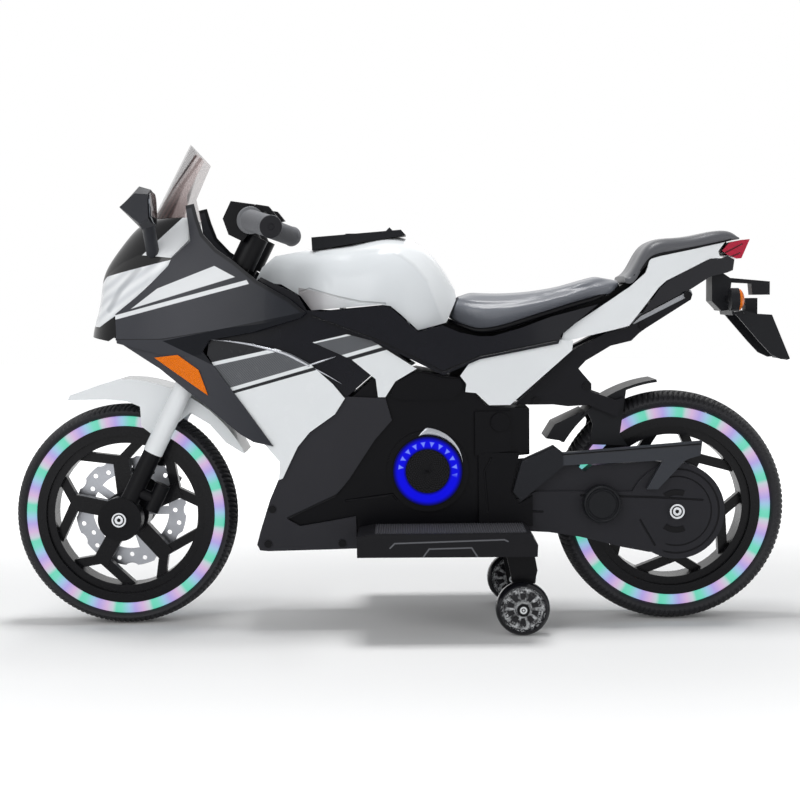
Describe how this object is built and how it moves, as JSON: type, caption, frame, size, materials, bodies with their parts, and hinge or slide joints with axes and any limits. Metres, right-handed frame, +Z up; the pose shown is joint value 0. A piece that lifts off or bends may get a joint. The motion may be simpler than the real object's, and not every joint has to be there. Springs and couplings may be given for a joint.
{
  "type": "kids electric motorbike",
  "caption": "Child's electric ride-on motorbike with full fairing, raked fork, lit spoked wheels, footboards and side stabilisers.",
  "frame": {"origin": "floor, at the middle of the length and width", "axes": "+Z up, front towards -X, rider's left towards -Y"},
  "size_m": [1.1491, 0.4238, 0.7143],
  "materials": {
    "white": "gloss",
    "charcoal": "satin",
    "black": "satin",
    "belly": "matte",
    "tyre": "matte",
    "rim": "satin",
    "light_ring": "translucent",
    "steel": "brushed",
    "frame": "powder coat",
    "chrome": "polished",
    "amber": "translucent",
    "red": "translucent",
    "screen": "smoked",
    "lens": "clear",
    "seat": "grained",
    "grip": "matte",
    "blue": "lit",
    "gear": "natural",
    "battery": "matte"
  },
  "bodies": {
    "chassis": {"side_panels": "white", "rear_panels": "white", "tank_cover": "white", "tail_panels": "white", "fairing_left": "charcoal", "fairing_right": "charcoal", "spar_covers": "charcoal", "undertail": "charcoal", "subframe": "charcoal", "chain_guard": "charcoal", "mirrors": "charcoal", "belly_cowl_left": "belly", "belly_cowl_right": "belly", "engine_housing_left": "black", "engine_housing_right": "black", "swingarm_left": "black", "swingarm_right": "black", "nose_cowl": "black", "tank_console": "black", "tail_pad": "black", "plate_bracket": "black", "rear_hugger": "black", "footboards": "black", "body_bolts": "black", "motor_cap": "black", "speaker_grilles": "black", "stabiliser_arms": "black", "motor_case": "steel", "main_frame": "frame", "rear_axle": "chrome", "amber_lenses": "amber", "tail_light": "red", "windscreen": "screen", "headlight_lenses": "lens", "seat": "seat", "speaker_rings": "blue", "battery": "battery"},
    "steering": {"steering_yokes": "frame", "fork_legs": "black", "fork_sleeves": "white", "front_axle": "chrome", "front_fender": "white", "handlebars": "black", "grip_left": "grip"},
    "front_wheel": {"front_tyre": "tyre", "front_rim": "rim", "front_light_rings": "light_ring", "brake_disc": "steel"},
    "rear_wheel": {"rear_tyre": "tyre", "rear_rim": "rim", "rear_light_rings": "light_ring", "drive_gear": "gear"},
    "idler": {"idler_gear": "gear"},
    "motor": {"motor_rotor": "steel"},
    "throttle": {"throttle_grip": "grip"},
    "horn": {"horn_button": "black"},
    "power": {"power_button": "black"},
    "direction": {"direction_switch": "black"},
    "stabiliser_left": {"stabiliser_wheel_left": "black"},
    "stabiliser_right": {"stabiliser_wheel_right": "black"}
  },
  "joints": [
    {"name": "steering", "type": "hinge", "parent": "chassis", "child": "steering", "pos_m": [-0.21388, 0, 0.55564], "axis": [0.4479, 0, 0.8941], "range_deg": [-20, 20]},
    {"name": "front_wheel_spin", "type": "hinge", "parent": "steering", "child": "front_wheel", "pos_m": [-0.40957, 0, 0.165], "axis": [0, 1, 0], "continuous": true},
    {"name": "rear_wheel_spin", "type": "hinge", "parent": "chassis", "child": "rear_wheel", "pos_m": [0.40243, 0, 0.171], "axis": [0, 1, 0], "continuous": true},
    {"name": "idler_spin", "type": "hinge", "parent": "chassis", "child": "idler", "pos_m": [0.32887, 0, 0.17909], "axis": [0, 1, 0], "continuous": true},
    {"name": "motor_spin", "type": "hinge", "parent": "chassis", "child": "motor", "pos_m": [0.29309, 0, 0.18303], "axis": [0, 1, 0], "continuous": true},
    {"name": "stabiliser_left_spin", "type": "hinge", "parent": "chassis", "child": "stabiliser_left", "pos_m": [0.17507, -0.128, 0.039], "axis": [0, 1, 0], "continuous": true},
    {"name": "stabiliser_right_spin", "type": "hinge", "parent": "chassis", "child": "stabiliser_right", "pos_m": [0.17507, 0.128, 0.039], "axis": [0, 1, 0], "continuous": true},
    {"name": "throttle_twist", "type": "hinge", "parent": "steering", "child": "throttle", "pos_m": [-0.20982, 0.1, 0.5974], "axis": [0.3431, 0.9313, -0.1225], "range_deg": [0, 40], "stiffness_Nm_per_rad": 0.25},
    {"name": "horn_press", "type": "slide", "parent": "steering", "child": "horn", "axis": [-1, 0, 0], "range_m": [0, 0.002], "stiffness_N_per_m": 400},
    {"name": "power_press", "type": "slide", "parent": "chassis", "child": "power", "axis": [0, 0, -1], "range_m": [0, 0.002], "stiffness_N_per_m": 400},
    {"name": "direction_rock", "type": "hinge", "parent": "chassis", "child": "direction", "pos_m": [-0.01169, 0, 0.57974], "axis": [0, 1, 0], "range_deg": [-8, 8]}
  ],
  "couplings": [
    {"joint": "idler_spin", "follows": "rear_wheel_spin", "ratio": -4.2857},
    {"joint": "motor_spin", "follows": "rear_wheel_spin", "ratio": 21.429}
  ]
}
